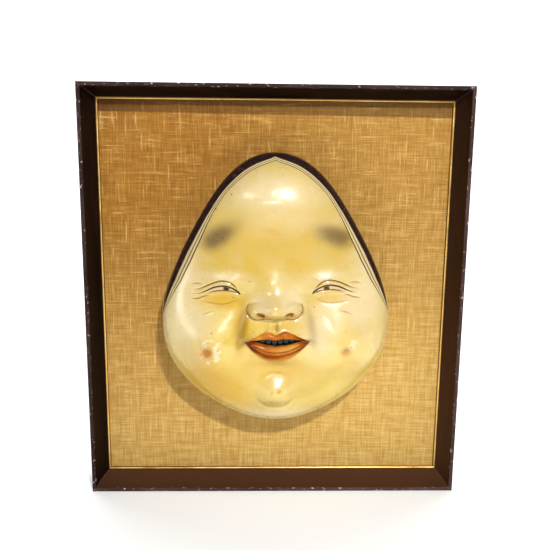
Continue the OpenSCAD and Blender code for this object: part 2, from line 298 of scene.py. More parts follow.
def lip_carving(x, z):
    a = from_lips(x)
    gap_top, gap_low, up, down = lip_shares(a, z, 0.4)
    ends = 1 - smooth(a, 17, 24)
    upper = 1.9 * ends * np.sin(math.pi * up) ** 0.8
    lower = 3.0 * ends * np.sin(math.pi * down) ** 0.8
    edge = 0.35 * (1 - smooth(a, 19, 24)) * ridge(across(a, z, LIP_TOP), 0.8)
    lines = -0.6 * ridge(across(a, z, LIP_LINE_1), 0.6) - 0.5 * ridge(across(a, z, LIP_LINE_2), 0.6)
    lines *= 1 - smooth(a, 15, 21)
    tuck = -0.7 * ridge(np.hypot((a - 24) / 2.2, z - 141), 1.4)
    inside = np.minimum(gap_top - z, z - gap_low)
    opening = -8 * smooth(inside, -0.2, 0.9) * (1 - smooth(a, 18, 20))
    return upper + lower + edge + lines + tuck + opening


def unevenness(x, z):
    """The slight waves that a knife and a brush leave."""
    return (
        0.09 * np.sin(0.19 * x + 1.3) * np.sin(0.15 * z + 0.4)
        + 0.02 * np.sin(0.47 * x + 0.31 * z) * np.sin(0.39 * z - 0.23 * x + 2.0)
    )


def carved(x, z, q):
    near = x - OFFSET_X
    calm = 1 - smooth(q, 0.9, 1)
    return (
        rise(x, z, q) + eye_carving(x, z) + nose_carving(near, z) + crease_carving(near, z)
        + lip_carving(x + 0.6, z) + unevenness(x, z) * calm
    )


# ----- Mesh helpers -----


def in_scene(name, data):
    thing = bpy.data.objects.new(name, data)
    bpy.context.scene.collection.objects.link(thing)
    return thing


def mesh_object(name, verts, faces, material):
    mesh = bpy.data.meshes.new(name)
    mesh.from_pydata([tuple(map(float, v)) for v in verts], [], faces)
    mesh.update()
    mesh.polygons.foreach_set("use_smooth", [True] * len(mesh.polygons))
    mesh.materials.append(material)
    return in_scene(name, mesh)


def store(piece, name, values, kind="FLOAT", part="value"):
    attribute = piece.data.attributes.new(name, kind, "POINT")
    attribute.data.foreach_set(part, np.asarray(values, np.float32).ravel())


# ----- Node helpers for the procedural materials -----


def rgb(r, g, b):
    """Linear colour from the 0 to 255 values that an eye would name it by."""
    def linear(c):
        c /= 255
        return c / 12.92 if c <= 0.04045 else ((c + 0.055) / 1.055) ** 2.4
    return (linear(r), linear(g), linear(b), 1)


class Look:
    """A material and short ways to add nodes to it."""

    def __init__(self, name, **sockets):
        self.material = bpy.data.materials.new(name)
        self.material.use_nodes = True
        self.tree = self.material.node_tree
        self.shader = self.tree.nodes["Principled BSDF"]
        self.set(**sockets)

    def add(self, kind, inputs=None, **settings):
        node = self.tree.nodes.new("ShaderNode" + kind)
        for key, value in settings.items():
            setattr(node, key, value)
        for key, value in (inputs or {}).items():
            self.put(node.inputs[key], value)
        return node

    def put(self, socket, value):
        if isinstance(value, bpy.types.NodeSocket):
            self.tree.links.new(value, socket)
        else:
            socket.default_value = value

    def field(self, name):
        return self.add("Attribute", attribute_name=name).outputs["Fac"]

    def vector(self, name):
        return self.add("Attribute", attribute_name=name).outputs["Vector"]

    def place(self):
        return self.add("TexCoord").outputs["Object"]

    def axes(self):
        """The place's X, Y and Z, each as a value of its own."""
        return self.add("SeparateXYZ", {"Vector": self.place()}).outputs

    def math(self, operation, a, b=0.0):
        return self.add("Math", {0: a, 1: b}, operation=operation).outputs[0]

    def plus(self, a, b):
        return self.math("ADD", a, b)

    def minus(self, a, b):
        return self.math("SUBTRACT", a, b)

    def times(self, a, b):
        return self.math("MULTIPLY", a, b)

    def most(self, a, b):
        return self.math("MAXIMUM", a, b)

    def noise(self, vector, scale, detail=3.0, roughness=0.5, distortion=0.0):
        inputs = {
            "Vector": vector, "Scale": scale, "Detail": detail,
            "Roughness": roughness, "Distortion": distortion,
        }
        return self.add("TexNoise", inputs).outputs["Fac"]

    def grain(self, vector, scale, *shape):
        """Noise with a scale of its own along each axis."""
        stretched = self.add("Mapping", {"Vector": vector, "Scale": scale})
        return self.noise(stretched.outputs["Vector"], 1.0, *shape)

    def spots(self, vector, scale):
        inputs = {"Vector": vector, "Scale": scale}
        return self.add("TexVoronoi", inputs).outputs["Distance"]

    def span(self, value, low, high, to_low=0.0, to_high=1.0):
        """value's stretch from low to high, eased onto to_low to to_high."""
        inputs = {
            "Value": value, "From Min": low, "From Max": high, "To Min": to_low, "To Max": to_high,
        }
        node = self.add("MapRange", inputs, interpolation_type="SMOOTHSTEP")
        return node.outputs["Result"]

    def stroke(self, value, edge=0.25):
        """1 where a signed line value is within 1 of its middle, with a soft edge."""
        return self.span(self.math("ABSOLUTE", value), 1 - edge, 1 + edge, 1, 0)

    def mix(self, amount, a, b):
        node = self.add("Mix", data_type="RGBA")
        for index, value in ((0, amount), (6, a), (7, b)):
            self.put(node.inputs[index], value)
        return node.outputs[2]

    def tint(self, color, name, share, paint):
        """color, painted over by a share of a field."""
        return self.mix(self.times(self.field(name), share), color, paint)

    def ramp(self, value, stops):
        """Colours that follow one another, as (position, colour)."""
        node = self.add("ValToRGB", {"Fac": value})
        elements = node.color_ramp.elements
        while len(elements) < len(stops):
            elements.new(1.0)
        for element, (position, color) in zip(elements, stops):
            element.position = position
            element.color = color
        return node.outputs["Color"]

    def bump(self, height, distance, strength=1.0, normal=None):
        inputs = {"Height": height, "Distance": distance, "Strength": strength}
        if normal is not None:
            inputs["Normal"] = normal
        return self.add("Bump", inputs).outputs["Normal"]

    def set(self, **sockets):
        for socket, value in sockets.items():
            self.put(self.shader.inputs[socket.replace("_", " ")], value)
        return self.material


# ----- Mask -----

GRID_U = 240
GRID_V = 288
WALL_STEPS = 6
INNER_SCALE = 0.877
# How much closer the points are at the nose than they would be if evenly spread
CROWDING = 0.28


def square_to_mask(count_u, count_v, scale):
    """Points of a square grid wrapped onto the mask's outline: x, z and share of the way out."""
    u, v = (np.linspace(-1, 1, count + 1) for count in (count_u, count_v))
    u, v = (t - CROWDING * np.sin(math.pi * t) / math.pi for t in (u, v))
    u, v = np.meshgrid(u, v)
    across_u = u * np.sqrt(1 - v**2 / 2)
    across_v = v * np.sqrt(1 - u**2 / 2)
    q = np.hypot(across_u, across_v)
    edge_x, edge_z = outline(np.arctan2(across_v, across_u))
    return q * scale * edge_x, NOSE_Z + q * scale * (edge_z - NOSE_Z), q


def grid_loop(count_u, count_v):
    """Indices round a grid's edge, anticlockwise from its lowest left corner."""
    row = count_u + 1
    bottom = list(range(count_u))
    right = [j * row + count_u for j in range(count_v)]
    top = [count_v * row + i for i in range(count_u, 0, -1)]
    left = [j * row for j in range(count_v, 0, -1)]
    return bottom + right + top + left


def grid_faces(count_u, count_v, start=0, flip=False):
    faces = []
    for j in range(count_v):
        for i in range(count_u):
            a = start + j * (count_u + 1) + i
            b = a + count_u + 1
            faces.append((a, b, b + 1, a + 1) if flip else (a, a + 1, b + 1, b))
    return faces


def leaning(points):
    """The mask hangs a little out of true, turned about its middle."""
    c, s = math.cos(LEAN), math.sin(LEAN)
    x, z = points[:, 0].copy(), points[:, 2] - MID_Z
    points[:, 0] = c * x - s * z
    points[:, 2] = MID_Z + s * x + c * z
    return points * MM


def edge_distance(x, z):
    """Distance of each point from the mask's outline, seen from the front."""
    ex, ez = outline(np.linspace(0, 2 * math.pi, 481))
    flat_x, flat_z = x.ravel(), z.ravel()
    nearest = np.full(len(flat_x), 1e9)
    for a, b, c, d in zip(ex[:-1], ez[:-1], ex[1:], ez[1:]):
        length = math.hypot(c - a, d - b)
        t = np.clip(((flat_x - a) * (c - a) + (flat_z - b) * (d - b)) / length**2, 0, 1)
        nearest = np.minimum(nearest, np.hypot(flat_x - a - t * (c - a), flat_z - b - t * (d - b)))
    return nearest.reshape(x.shape)


def line_value(x, z, knots, width, fade_in, fade_out):
    """Signed distance from a painted line in half widths: it is inked between -1 and 1."""
    a = np.abs(x)
    first, last = knots[0][0], knots[-1][0]
    taper = smooth(a, first - 0.5, first + fade_in) * (1 - smooth(a, last - fade_out, last + 0.5))
    return across(a, z, knots) / (width * np.maximum(taper, 0.02))


# The lines round the eyes: their knots, half widths and the lengths that they fade in and out over
PAINTED_LINES = {
    "lid": (LID, 0.78, 1.5, 20),
    "fold": (FOLD, 0.55, 3, 14),
    "lower_lid": (LOWER_LID, 0.42, 2, 8),
    "crow_high": (CROW_HIGH, 0.5, 5, 4),
    "crow_low": (CROW_LOW, 0.5, 5, 5),
    "pouch": (POUCH, 0.6, 9, 9),
    "cheek_line": (CHEEK_LINE, 0.45, 5, 5),
}


def nose_line(x, z):
    """The dark line of painted shade under the nose and round its wings, as a signed line value."""
    a = np.abs(x)
    base = across(a, z, NOSE_BASE) / 0.6
    base = np.where(a > NOSE_BASE[-1][0], FAR, base)
    around = from_wing(x, z) * 6.8 / 0.4
    around = np.where((a > 16.5) & (z > 161) & (z < 169.5), around, FAR)
    return np.where(np.abs(base) < np.abs(around), base, around)


def lip_depth(x, z):
    """How deep the lips' colour is: pale along their middles, dark at the corners and edges, with
    painted shade next to the mouth's gap.
    """
    a = from_lips(x)
    gap_top, _, up, down = lip_shares(a, z, 0.6)
    band = (0.32 - 0.22 * smooth(x, -8, 10)) * ridge(down - 0.68, 0.09)
    lower = 0.3 - 0.3 * ridge(down - 0.25, 0.18) + band - 0.36 * smooth(down, 0.72, 0.9)
    lower += 0.3 * (1 - smooth(x, -14, 4)) * (1 - 0.6 * smooth(down, 0.8, 0.95))
    upper = 0.16 + 0.26 * smooth(x, -8, 6) + 0.25 * (1 - smooth(up, 0, 0.35))
    return np.where(z > gap_top, upper, lower) + 0.55 * smooth(a, 12, 21)


def paint_fields(x, z, q):
    """Fields that the mask's paint is mixed by, at every point of the face."""
    def both(*shape):
        return mound(x, z, *shape)

    def one(*shape):
        return fade(x, z, *shape)

    a = np.abs(x)
    shifted = from_lips(x)
    hair_width = np.interp(z, *np.array(HAIR_WIDTH).T)
    dark_width = hair_width * np.interp(z, *np.array(HAIR_DARK).T)
    from_edge = edge_distance(x, z) + 3 * np.exp(-a / 6) * smooth(z, 245, 265)
    top, gap_top = across(shifted, z, LIP_TOP), across(shifted, z, GAP_TOP)
    gap_low, low = across(shifted, z, GAP_LOW), across(shifted, z, LIP_LOW)
    slope, middle = np.where(x < 0, 0.56, 0.34), np.where(x < 0, 45.5, 48)
    brow_u = (a - middle) * np.cos(slope) - (z - 218) * np.sin(slope)
    brow_v = (a - middle) * np.sin(slope) + (z - 218) * np.cos(slope)
    return {
        "hair": (
            (from_edge - dark_width) / (hair_width - dark_width)
            + 4 * (1 - smooth(z, HAIR_END - 2, HAIR_END))
        ),
        **{name: line_value(x, z, *line) for name, line in PAINTED_LINES.items()},
        "eye_white": np.where(
            (a > LOWER_LID[0][0]) & (a < LOWER_LID[-1][0]),
            np.minimum(across(a, z, LOWER_LID), -across(a, z, LID)), -1),
        "lips": np.where(
            shifted < LIP_TOP[-1][0] + 0.2,
            np.maximum(np.minimum(-top, gap_top), np.minimum(-gap_low, 0.4 * low)), -1),
        "mouth_gap": np.where(shifted < 20, np.minimum(-gap_top, gap_low), -1),
        "lip_line_1": across(shifted, z, LIP_LINE_1) / 0.4,
        "lip_line_2": across(shifted, z, LIP_LINE_2) / 0.5,
        "lip_depth": lip_depth(x, z),
        "nose_line": nose_line(x - OFFSET_X, z),
        "worn": one(-49.5, 134, 9.5, 10) + 0.85 * one(56, 135.5, 7, 7),
        "brow": np.exp(-((brow_u / np.where(brow_u < 0, 22, 13)) ** 2) - (brow_v / 8.8) ** 2),
        # Ochre: the paint's own yellow patches, and painted shade in the fold on the left beside
        # the nose, under the nose and under the lower lip
        "ochre": np.clip(
            0.4 * both(0, 216, 60, 17) + np.where(x < 0, 2.2, 0.9) * both(42, 171.5, 15, 5)
            + 0.3 * both(14, 197, 14, 9) + 1.1 * one(-56, 110, 26, 20)
            + 1.5 * one(-26.5, 150, 7, 15) + 0.35 * one(55, 112, 20, 12)
            + 0.6 * both(0, 153, 14, 4) + 0.9 * one(0, 116, 20, 10)
            + 0.8 * one(-34, 96, 17, 15), 0, 1),
        # Pale: partly the paint's paler patches, partly painted light: highlights on the lids,
        # nose, cheeks and chin, reflections down the left and right edges, and a lighter band round
        # the rim
        "pale": np.clip(
            1.1 * both(0, 252, 42, 16) + both(38, 190, 15, 4) + 0.4 * both(0, 106, 13, 8)
            + 1.1 * one(33, 146, 12, 19) + 0.8 * one(60, 165, 22, 16)
            + 0.6 * one(8, 178, 14, 12) + 0.9 * both(11, 169, 9, 9)
            + one(-76, 185, 16, 44) + 0.8 * one(70, 188, 14, 40)
            + 0.9 * one(-62, 154, 16, 14) + one(0, 74, 34, 9)
            + (0.5 + 0.7 * one(-76, 185, 40, 50)) * smooth(q, 0.93, 0.985), 0, 1),
        # Painted light and shade: the cream is lighter low on the face and darker high up, evening
        # out the key light from above
        "lower": 1 - smooth(z, 120, 225),
        # Warm brown: painted shade in the nostrils, and marks in the dimples' pits, on the chin and
        # on the brow
        "warm": np.clip(
            np.where(x < 0, 1.5, 0.95) * both(52.5, 133, 4.4, 3.6) + 0.9 * both(11, 161.5, 6, 2.6)
            + 0.8 * one(2, 101, 1.6, 1.3) + 0.5 * one(-4, 100, 1.2, 1.2)
            + 0.3 * one(-5, 224.5, 8, 1.6) + 0.25 * one(1, 221.5, 6, 1.2), 0, 1),
        # Painted shade in the folds beside the nose, at the mouth's corners, in the philtrum, under
        # the lower lip and under the nose
        "painted_shade": np.clip(
            np.where(x < 0, 1.6, 0.7) * ridge(a - 26.5 + 0.15 * (z - 150), 3.4) * ridge(z - 151, 15)
            + 0.6 * one(-21, 143, 4, 5) + 1.8 * one(0.2, 151.2, 1.3, 2.6)
            + 0.7 * one(1, 122.5, 11, 2.6) + 0.8 * both(24.5, 140.5, 2.6, 2.6)
            + 0.45 * both(0, 159.8, 17, 2), 0, 1),
    }


def mask_look():
    look = Look("mask_paint", Coat_Roughness=0.14, Coat_IOR=1.5, IOR=1.5)
    place = look.place()
    # Painted light and shade: lighter cream low on the face, darker high up
    cream = look.mix(look.field("lower"), rgb(191, 166, 90), rgb(222, 194, 98))
    mottled = look.noise(place, 28, 4, 0.55, 0.6)
    color = look.mix(look.span(mottled, 0.35, 0.7), cream, rgb(198, 164, 62))
    pinkish = look.span(look.noise(place, 15, 3, 0.6, 0.8), 0.5, 0.72, 0, 0.55)
    color = look.mix(pinkish, color, rgb(214, 182, 130))
    # Ochre and pale zones: the paint's own tones, with painted shade among the ochre and painted
    # highlights and reflections among the pale
    color = look.tint(color, "ochre", 0.85, rgb(202, 156, 14))
    color = look.tint(color, "pale", 0.7, rgb(222, 202, 160))
    # Brown specks of age in the varnish
    specks = look.span(look.spots(place, 95), 0.04, 0.065, 1, 0)
    chosen = look.span(look.noise(place, 40, 1), 0.48, 0.54)
    color = look.mix(look.times(specks, chosen), color, rgb(88, 62, 32))
    # Paint flaked off round the dimples, down to the white ground, with dirt in the chips
    worn = look.field("worn")
    flaked = look.times(worn, look.span(look.noise(place, 190, 5, 0.62), 0.42, 0.58))
    color = look.mix(look.span(flaked, 0.26, 0.42, 0, 0.75), color, rgb(228, 212, 168))
    dirt = look.times(worn, look.span(look.spots(place, 300), 0.1, 0.2, 1, 0))
    color = look.mix(look.span(dirt, 0.35, 0.5, 0, 0.8), color, rgb(96, 66, 30))
    # Warm brown marks, with painted shade in the nostrils
    color = look.tint(color, "warm", 0.85, rgb(172, 106, 4))
    # Painted shade in the folds and under the nose and lips
    color = look.tint(color, "painted_shade", 0.6, rgb(124, 92, 14))
    # Brows, soft and smoky
    smoke = look.span(look.noise(place, 60, 3), 0.1, 0.7, 0.75, 1)
    smoky = look.times(look.field("brow"), smoke)
    color = look.mix(look.span(smoky, 0.06, 1.0, 0, 0.84), color, rgb(94, 70, 42))
    # Eyes
    white = look.span(look.field("eye_white"), -0.1, 0.25)
    color = look.mix(white, color, rgb(202, 174, 124))
    ochre_ink_and_shade, brown_ink, black_ink = rgb(104, 68, 10), rgb(76, 42, 12), rgb(16, 8, 4)
    inked = 0.0
    for name, ink, strength in (
        ("fold", ochre_ink_and_shade, 0.9), ("crow_high", ochre_ink_and_shade, 0.55), ("crow_low", ochre_ink_and_shade, 0.7),
        # The nose line is painted shade under the nose and in the creases round its wings; the rest
        # are inked lines
        ("pouch", ochre_ink_and_shade, 0.35), ("cheek_line", ochre_ink_and_shade, 0.4), ("nose_line", ochre_ink_and_shade, 0.75),
        ("lower_lid", brown_ink, 0.75), ("lid", black_ink, 0.95),
    ):
        amount = look.times(look.stroke(look.field(name), 0.45), strength)
        color = look.mix(amount, color, ink)
        inked = look.most(amount, inked)
    # Lips: ochre orange to red brown, with darker lines along the lower one
    streaks = look.span(look.noise(place, 130, 3), 0.3, 0.7, -0.15, 0.15)
    lip = look.ramp(look.plus(look.field("lip_depth"), streaks), [
        (0.0, rgb(200, 138, 54)), (0.35, rgb(180, 104, 26)),
        (0.65, rgb(150, 68, 10)), (1.0, rgb(88, 32, 6)),
    ])
    for name in ("lip_line_1", "lip_line_2"):
        line = look.times(look.stroke(look.field(name), 0.5), 0.8)
        lip = look.mix(line, lip, rgb(104, 42, 10))
    color = look.mix(look.span(look.field("lips"), -0.4, 0.35), color, lip)
    # Painted shade in the mouth's opening
    color = look.mix(look.span(look.field("mouth_gap"), -0.35, 0.3), color, rgb(36, 18, 14))
    # Hair: a dark band at the edge, then fine dark and pale lines
    dark, pale = rgb(40, 25, 24), rgb(204, 182, 130)
    hair = look.field("hair")
    strands = look.ramp(hair, [
        (0.0, dark), (0.08, rgb(112, 92, 78)), (0.16, pale), (0.4, pale), (0.46, dark),
        (0.52, dark), (0.58, pale), (0.8, pale), (0.86, dark), (1.0, dark),
    ])
    scuffed = look.span(look.noise(place, 300, 4, 0.6), 0.55, 0.72, 0, 0.3)
    scuffed = look.times(scuffed, look.span(hair, -0.1, 0.1, 1, 0.2))
    strands = look.mix(scuffed, strands, rgb(120, 100, 90))
    is_hair, bare = look.span(hair, 0.94, 1.02, 1, 0), look.field("bare")
    color = look.mix(is_hair, color, strands)
    grain = look.grain(place, (260, 260, 18), 4, 0.6)
    wood = look.mix(look.span(grain, 0.35, 0.65), rgb(112, 78, 46), rgb(158, 118, 74))
    color = look.mix(bare, color, wood)
    rough = look.span(look.noise(place, 55, 4, 0.6), 0.3, 0.75, 0.22, 0.42)
    normal = look.bump(look.noise(place, 150, 3, 0.5), 0.0004, 0.05)
    normal = look.bump(look.noise(place, 620, 2, 0.5), 0.00008, 0.12, normal)
    # Only the cream paint is varnished to a gloss
    matt, lips = inked, look.span(look.field("lips"), -0.2, 0.3)
    for unvarnished in (lips, is_hair, bare, look.times(look.field("warm"), 0.8)):
        matt = look.most(matt, unvarnished)
    return look.set(
        Base_Color=color, Roughness=rough, Normal=normal,
        Coat_Weight=look.span(matt, 0, 1, 0.8, 0.06),
        Specular_IOR_Level=look.span(matt, 0, 1, 0.5, 0.05),
    )


def build_mask():
    x, z, q = square_to_mask(GRID_U, GRID_V, 1)
    front = np.stack([x.ravel(), (RIM_Y - carved(x, z, q)).ravel(), z.ravel()], 1)
    blocks = [front]
    faces = grid_faces(GRID_U, GRID_V)
    loop = grid_loop(GRID_U, GRID_V)
    ring, count = loop, len(front)
    for step in range(1, WALL_STEPS + 1):
        row = front[loop].copy()
        row[:, 1] = RIM_Y + RIM_HEIGHT * step / WALL_STEPS
        blocks.append(row)
        following = list(range(count, count + len(row)))
        count += len(row)
        for i in range(len(ring)):
            n = (i + 1) % len(ring)
            faces.append((ring[i], following[i], following[n], ring[n]))
        ring = following
    inner_grid = GRID_U // 2, GRID_V // 2
    inner_x, inner_z, inner_q = square_to_mask(*inner_grid, INNER_SCALE)
    hollow = dome(inner_q) * HOLLOW_HEIGHT / DOME_HEIGHT
    hollow += 7 * mound(inner_x, inner_z, 0, 168, 8, 15) + 6 * cheeks(inner_x, inner_z)
    inner_y = RIM_Y + DOME_HEIGHT - HOLLOW_HEIGHT - hollow
    inner = np.stack([inner_x.ravel(), inner_y.ravel(), inner_z.ravel()], 1)
    inner_loop = grid_loop(*inner_grid)
    back_edge = inner[inner_loop].copy()
    back_edge[:, 1] = CLOTH_Y / MM
    blocks += [back_edge, inner]
    back_ring = list(range(count, count + len(back_edge)))
    count += len(back_edge)
    inner_ring = [count + i for i in inner_loop]
    faces += grid_faces(*inner_grid, count, flip=True)
    for i in range(len(back_ring)):
        n = (i + 1) % len(back_ring)
        following = ring[(2 * i + 2) % len(ring)]
        faces.append((ring[2 * i], back_ring[i], back_ring[n], following, ring[2 * i + 1]))
        faces.append((back_ring[i], inner_ring[i], inner_ring[n], back_ring[n]))
    points = np.concatenate(blocks)
    piece = mesh_object("mask_carving", leaning(points.copy()), faces, mask_look())
    # The walls carry on the paint of the edge; the hollow is bare wood
    behind = len(points) - len(front)
    behind_y, behind_z = points[len(front):, 1:].T
    wall_end = HAIR_END + 0.4 * (behind_y - RIM_Y)
    rest = dict.fromkeys(("brow", "ochre", "warm", "painted_shade", "worn", "lip_depth", "lower"), 0)
    # The walls take some of the pale paint: painted light on sides that turn away from the lamps
    rest.update(dict.fromkeys(("lips", "mouth_gap", "eye_white"), -1), pale=0.4)
    rest["hair"] = 3 - 4 * smooth(behind_z - wall_end, -2, 0)
    for name, field in paint_fields(x, z, q).items():
        value = np.broadcast_to(rest.get(name, FAR), behind)
        store(piece, name, np.concatenate([field.ravel(), value]))
    bare = np.zeros(len(points))
    bare[len(points) - len(back_edge) - len(inner):] = 1
    store(piece, "bare", bare)
    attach(piece, CASE)
    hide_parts("mask")


TEETH = 8
TOOTH_PITCH = 4.4


def build_teeth():
    """Blackened teeth, a row of rounded blocks just inside the lips."""
    look = Look(
        "teeth_black", Roughness=0.2, Coat_Weight=0.4, Coat_Roughness=0.04, Specular_IOR_Level=0.2,
    )
    place = look.place()
    tint = look.span(look.noise(place, 900, 3), 0.4, 0.7)
    color = look.mix(tint, rgb(5, 5, 6), rgb(22, 21, 23))
    material = look.set(Base_Color=color, Normal=look.bump(look.noise(place, 700, 2), 0.0002, 0.5))
    gather = bmesh.new()
    for i in range(TEETH):
        x = (i - (TEETH - 1) / 2) * TOOTH_PITCH + 0.4
        face = float(rise(np.array([x]), np.array([141.0]), np.array([0.2]))[0])
        made = bmesh.ops.create_icosphere(gather, subdivisions=3, radius=1)
        size = Vector((2.35, 2.0, 3.6 - 0.012 * x * x))
        middle = Vector((x, RIM_Y - face + 4.2, 141.3))
        for v in made["verts"]:
            blunt = Vector([math.copysign(abs(c) ** 0.6, c) for c in v.co])
            v.co = blunt * size + middle
    gather.verts.index_update()
    points = np.array([v.co for v in gather.verts])
    faces = [[v.index for v in face.verts] for face in gather.faces]
    gather.free()
    piece = mesh_object("teeth", leaning(points), faces, material)
    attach(piece, CASE)


# ----- Frame rails -----


def corner(center, radius, start, end):
    """Points of an arc, in [depth, inset]."""
    angles = np.radians(np.linspace(start, end, 5))
    return [(center[0] + radius * math.cos(a), center[1] + radius * math.sin(a)) for a in angles]


def rail_section():
    """[depth, inset] outline of a rail in millimetres, with its edges eased."""
    front, back, width = FRONT_Y / MM, BACK_Y / MM, RAIL_W / MM
    lip, scoop, radius, rabbet_u = 3.1, 20.9, 40, 6
    rabbet_y = front + scoop + 1
    chord = np.array([scoop, width - lip])
    length = np.linalg.norm(chord)
    middle = np.array([front, lip]) + chord / 2
    aside = np.array([-chord[1], chord[0]])
    middle = middle + math.sqrt(radius**2 - length**2 / 4) / length * aside
    hollow = []
    for t in np.linspace(0, 1, 15):
        depth = front + 0.55 + (scoop - 0.75) * t
        hollow.append((depth, middle[1] - math.sqrt(radius**2 - (depth - middle[0]) ** 2)))
    return (
        corner((front + 0.6, 0.6), 0.6, 180, 270)
        + [(front + 1.8, 0)]
        + corner((back - 0.8, 0.8), 0.8, 270, 360)
        + [(back, rabbet_u), (rabbet_y, rabbet_u), (rabbet_y, width - 0.1)]
        + hollow[::-1]
        + corner((front + 0.45, lip - 0.45), 0.45, 100, 180)
    )


def rail_look():
    look = Look("rail_lacquer", Specular_IOR_Level=0.04)
    grain = look.vector("grain")
    fibres = look.grain(grain, (14, 420, 420), 6, 0.62)
    pores = look.grain(grain, (60, 1500, 1500), 3, 0.6)
    cloudy = look.grain(grain, (20, 60, 60), 3, 0.5)
    color = look.mix(look.span(fibres, 0.3, 0.72), rgb(12, 6, 4), rgb(32, 17, 10))
    color = look.mix(look.span(cloudy, 0.4, 0.75, 0, 0.4), color, rgb(46, 25, 16))
    # Painted light: the bottom and right rails are a lighter brown, as if lit more
    color = look.mix(look.field("painted_light"), color, rgb(104, 69, 46))
    lip = look.span(look.field("lip"), 0.2, 0.9)
    # Dust on the lip, laid on more thickly where the rail is painted lighter: partly dust, partly
    # painted light
    dusty = look.mix(look.span(cloudy, 0.35, 0.7), rgb(62, 44, 44), rgb(88, 68, 68))
    lip_dust_and_light = look.span(look.field("painted_light"), 0, 0.5, 0.42, 0.8)
    color = look.mix(look.times(lip, lip_dust_and_light), color, dusty)
    chips = look.span(look.grain(grain, (220, 500, 500), 4, 0.7), 0.6, 0.66)
    edge = look.span(look.field("edge"), 0.35, 0.95)
    color = look.mix(look.times(chips, edge), color, rgb(206, 190, 172))
    color = look.tint(color, "mitre", 0.35, rgb(120, 96, 80))
    rough = look.span(fibres, 0.3, 0.8, 0.42, 0.6)
    normal = look.bump(pores, 0.00012, 0.35)
    return look.set(Base_Color=color, Roughness=rough, Normal=normal)


# Dents in each rail's lip
NICKS = 16
# Share of painted light, a lighter brown lacquer, at the low end of each rail and at its high end
PAINTED_LIGHT_SHARE = {"bottom": (0.5, 0.5), "top": (0, 0), "left": (0, 0), "right": (0.42, 0.14)}
SIDES = {
    "bottom": lambda along, inset: (along, inset),
    "top": lambda along, inset: (-along, FRAME_H - inset),
    "left": lambda along, inset: (inset - FRAME_W / 2, FRAME_H / 2 - along),
    "right": lambda along, inset: (FRAME_W / 2 - inset, FRAME_H / 2 + along),
}


def build_rail(side, material, seed):
    section = rail_section()
    length = FRAME_W if side in ("bottom", "top") else FRAME_H
    ends = np.array([0, 0.001, 0.0025])
    shares = np.concatenate([ends, np.linspace(0.008, 0.992, 149), 1 - ends[::-1]]) - 0.5
    steps = len(shares) - 1
    verts, grain, lip, edge, mitre = [], [], [], [], []
    rng = np.random.default_rng(seed)
    nicks = [
        (rng.uniform(-0.48, 0.48), rng.uniform(0.6, 2.2), rng.uniform(0.15, 0.5))
        for _ in range(NICKS)
    ]
    for share in shares:
        for depth, inset in section:
            half = length / 2 - inset * MM
            along = 2 * share * half
            nick = sum(
                deep * math.exp(-(((along - at * length) / (wide * MM)) ** 2))
                for at, wide, deep in nicks
            )
            on_lip = depth < FRONT_Y / MM + 1.0 and inset < 4
            push = nick if on_lip and inset > 1.5 else 0
            x, z = SIDES[side](along, (inset - 0.4 * push) * MM)
            verts.append((x, (depth + 0.5 * push) * MM, z))
            grain.append((along + 0.7 * seed, depth * MM, inset * MM))
            lip.append(1.0 if depth < FRONT_Y / MM + 0.5 else 0.0)
            edge.append(1.0 if on_lip and (inset > 2.2 or inset < 0.7) else 0.0)
            mitre.append(1.0 if abs(share) > 0.4985 else 0.0)
    n = len(section)
    faces = []
    for k in range(steps):
        for i in range(n):
            a, b = k * n + i, k * n + (i + 1) % n
            faces.append((a, b, b + n, a + n))
    faces.append(tuple(range(n - 1, -1, -1)))
    faces.append(tuple(steps * n + i for i in range(n)))
    piece = mesh_object("frame_" + side, verts, faces, material)
    store(piece, "grain", grain, "FLOAT_VECTOR", "vector")
    painted_light = np.interp(np.array(verts)[:, 2], (0, FRAME_H), PAINTED_LIGHT_SHARE[side])
    for name, values in (("lip", lip), ("painted_light", painted_light), ("edge", edge), ("mitre", mitre)):
        store(piece, name, values)
    piece.data.set_sharp_from_angle(angle=math.radians(38))
    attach(piece, CASE)
    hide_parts("rail_" + side)


# ----- Cloth -----

TURNOVER = 12 * MM
CLOTH_T = 0.5 * MM
CORNER_GAP = 0.3 * MM
# From the frame's edge to the inner edge of the gilt slips
SLIP_INSET = 10.8 * MM
# Height and slant of the painted shadow under the top rail
RAIL_SHADOW_DEPTH = 10.8 * MM
RAIL_SHADOW_SLANT = 0.009


